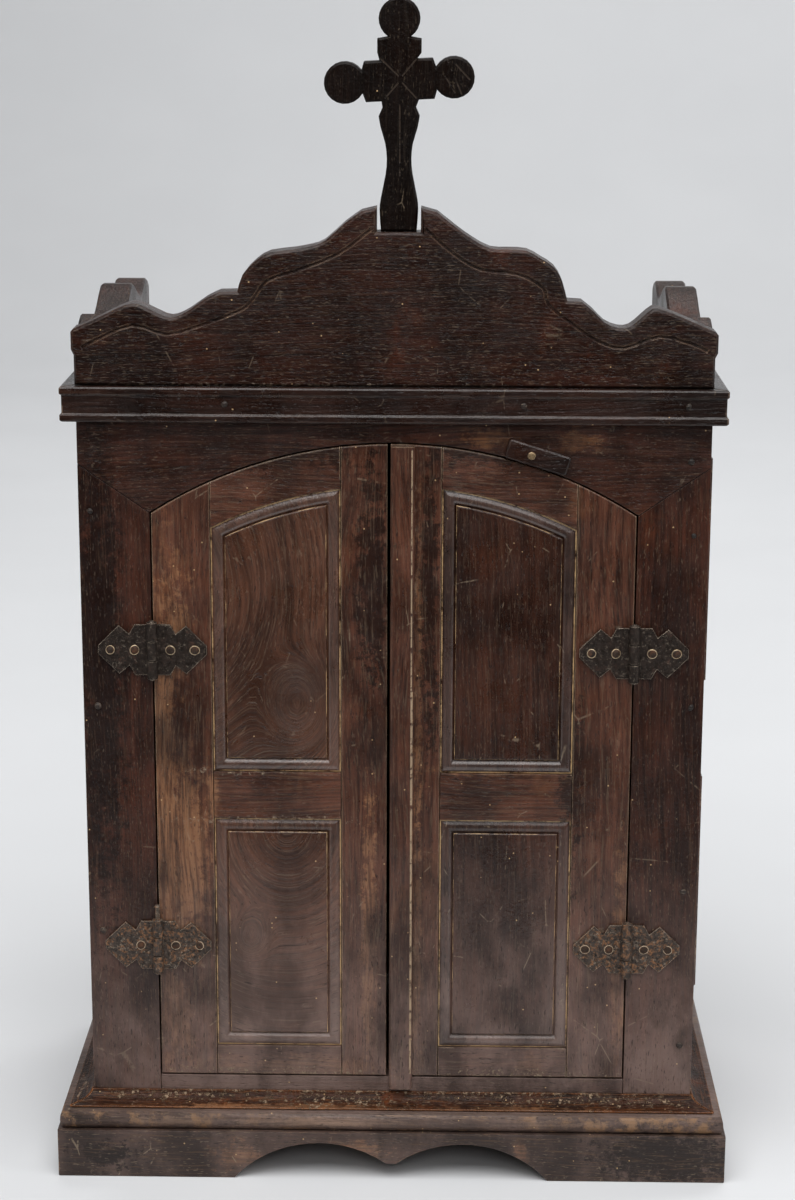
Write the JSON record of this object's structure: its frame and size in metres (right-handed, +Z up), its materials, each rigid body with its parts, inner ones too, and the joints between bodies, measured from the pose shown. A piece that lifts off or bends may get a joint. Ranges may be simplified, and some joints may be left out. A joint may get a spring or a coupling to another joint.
{
  "type": "home altar",
  "caption": "Dark hardwood home altar: cabinet on a scalloped plinth, two arched panelled doors on butterfly hinges, turn button, carved cresting, side galleries and a cross",
  "frame": {"origin": "centre of the footprint on the ground, under the feet", "axes": "+Z up, front with the doors faces -Y, +X to the right seen from the front"},
  "size_m": [0.4, 0.23, 0.6916],
  "materials": {
    "case_wood": "near-black brown hardwood, old wax polish, dusty in the joints",
    "door_wood": "dark brown hardwood, worn orange-brown along the hinge edges",
    "panel_wood": "dark figured hardwood with a satin sheen",
    "back_wood": "plain unpolished dark boards",
    "wrought_iron": "hand-forged iron, dark with pale worn edges and brown rust",
    "aged_brass": "dull aged brass nail"
  },
  "bodies": {
    "case": {"back_board": "back_wood", "base_cove_front": "case_wood", "base_cove_left": "case_wood", "base_cove_right": "case_wood", "cornice_front": "case_wood", "cornice_left": "case_wood", "cornice_right": "case_wood", "crest_front": "case_wood", "cross": "case_wood", "floor_board": "case_wood", "gallery_left": "case_wood", "gallery_right": "case_wood", "head_rail": "case_wood", "hinge_left_lower_frame_leaf": "wrought_iron", "hinge_left_lower_pin": "wrought_iron", "hinge_left_upper_frame_leaf": "wrought_iron", "hinge_left_upper_pin": "wrought_iron", "hinge_right_lower_frame_leaf": "wrought_iron", "hinge_right_lower_pin": "wrought_iron", "hinge_right_upper_frame_leaf": "wrought_iron", "hinge_right_upper_pin": "wrought_iron", "jamb_left": "case_wood", "jamb_right": "case_wood", "plinth_back": "back_wood", "plinth_front": "case_wood", "plinth_left": "case_wood", "plinth_right": "case_wood", "side_panel_left_lower": "panel_wood", "side_panel_left_upper": "panel_wood", "side_panel_right_lower": "panel_wood", "side_panel_right_upper": "panel_wood", "side_wall_left": "case_wood", "side_wall_right": "case_wood", "sill_rail": "case_wood", "top_board": "case_wood", "turn_button_nail": "aged_brass"},
    "left_door": {"door_left_bottom_rail": "door_wood", "door_left_hinge_stile": "door_wood", "door_left_lower_panel": "panel_wood", "door_left_meeting_stile": "door_wood", "door_left_mid_rail": "door_wood", "door_left_top_rail": "door_wood", "door_left_upper_panel": "panel_wood", "hinge_left_lower_door_leaf": "wrought_iron", "hinge_left_upper_door_leaf": "wrought_iron"},
    "right_door": {"door_right_astragal": "door_wood", "door_right_bottom_rail": "door_wood", "door_right_hinge_stile": "door_wood", "door_right_lower_panel": "panel_wood", "door_right_meeting_stile": "door_wood", "door_right_mid_rail": "door_wood", "door_right_top_rail": "door_wood", "door_right_upper_panel": "panel_wood", "hinge_right_lower_door_leaf": "wrought_iron", "hinge_right_upper_door_leaf": "wrought_iron"},
    "turn_button_body": {"turn_button": "door_wood"}
  },
  "joints": [
    {"name": "left_door_swing", "type": "hinge", "parent": "case", "child": "left_door", "pos_m": [-0.13905, -0.0984, 0.2316], "axis": [0, 0, -1], "range_deg": [0, 170]},
    {"name": "right_door_swing", "type": "hinge", "parent": "case", "child": "right_door", "pos_m": [0.13905, -0.0984, 0.2316], "axis": [0, 0, 1], "range_deg": [0, 170]},
    {"name": "button_turn", "type": "hinge", "parent": "case", "child": "turn_button_body", "pos_m": [0.078, -0.099, 0.44024], "axis": [0, 1, 0], "range_deg": [0, 180]}
  ]
}
